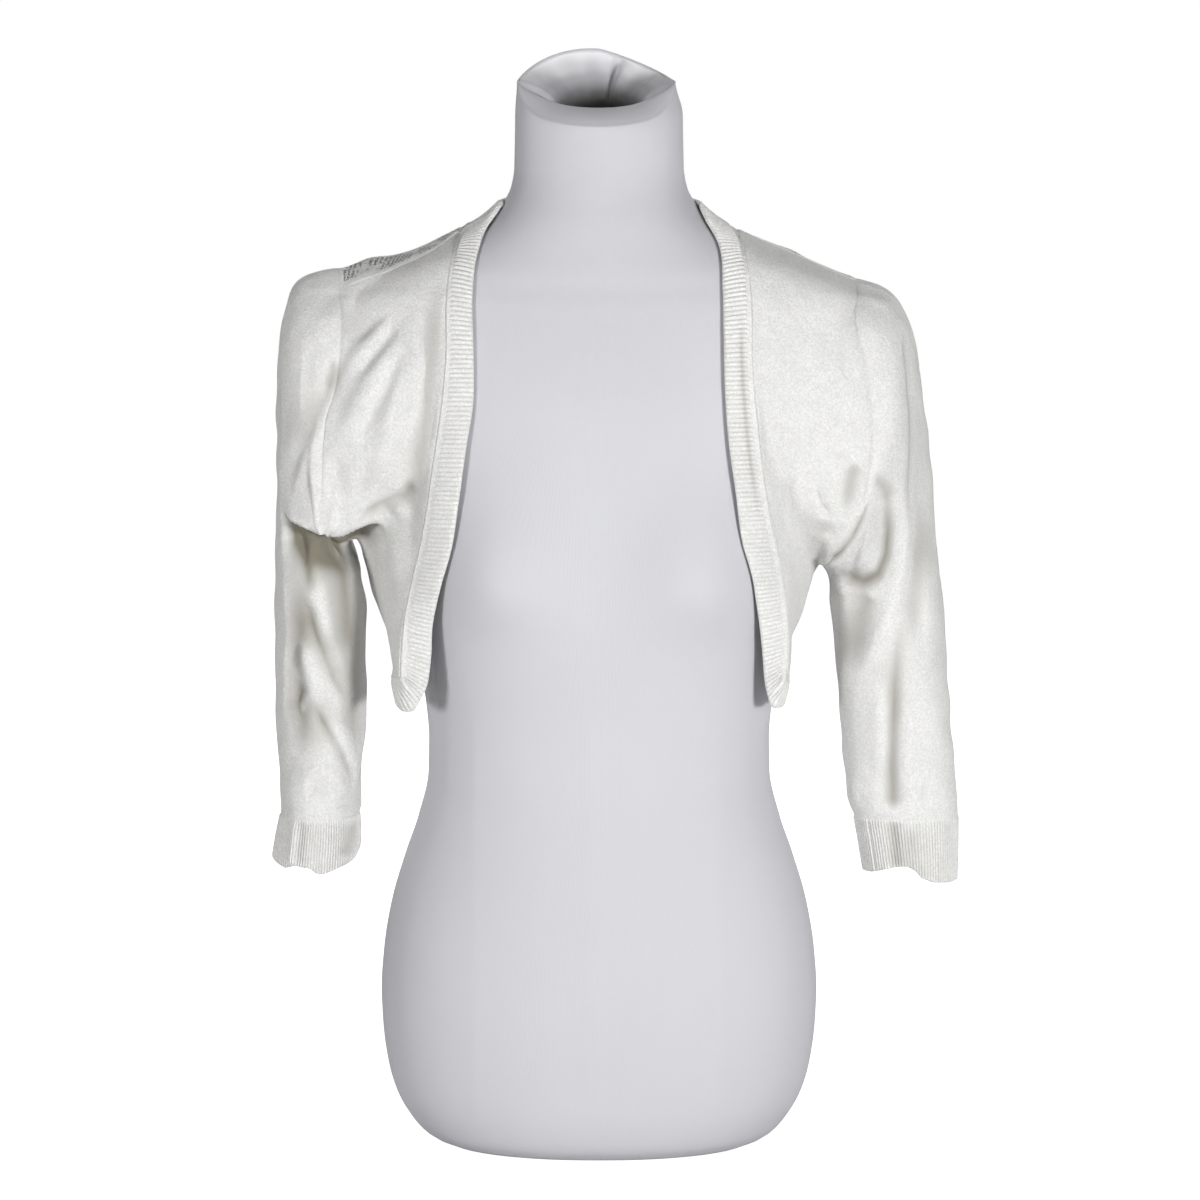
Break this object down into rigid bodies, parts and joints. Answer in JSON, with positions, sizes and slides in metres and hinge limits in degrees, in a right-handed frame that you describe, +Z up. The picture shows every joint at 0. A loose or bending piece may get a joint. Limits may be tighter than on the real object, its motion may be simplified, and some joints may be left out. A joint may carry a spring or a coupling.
{
  "type": "knitted shrug on a dress form",
  "caption": "Cropped open-front knitted shrug with three-quarter sleeves, ribbed bands and cuffs and a lace back, worn by a limbless dress form with a tucked-in neck.",
  "frame": {"origin": "middle of the dress form's flat underside, where it rests", "axes": "+Z up along the form, -Y the way the wearer faces, +X the wearer's left"},
  "size_m": [0.498, 0.2434, 0.7922],
  "materials": {
    "fine_knit": "matte fine-gauge jersey",
    "rib_knit": "matte rib knit",
    "lace": "matte openwork lace knit",
    "form_jersey": "matte smooth jersey cover"
  },
  "bodies": {
    "root": {"dress_form": "form_jersey", "front_left": "fine_knit", "front_right": "fine_knit", "back": "lace", "sleeve_left": "fine_knit", "sleeve_right": "fine_knit", "cuff_left": "rib_knit", "cuff_right": "rib_knit", "band_left": "rib_knit", "band_right": "rib_knit", "band_hem": "rib_knit"}
  },
  "joints": []
}
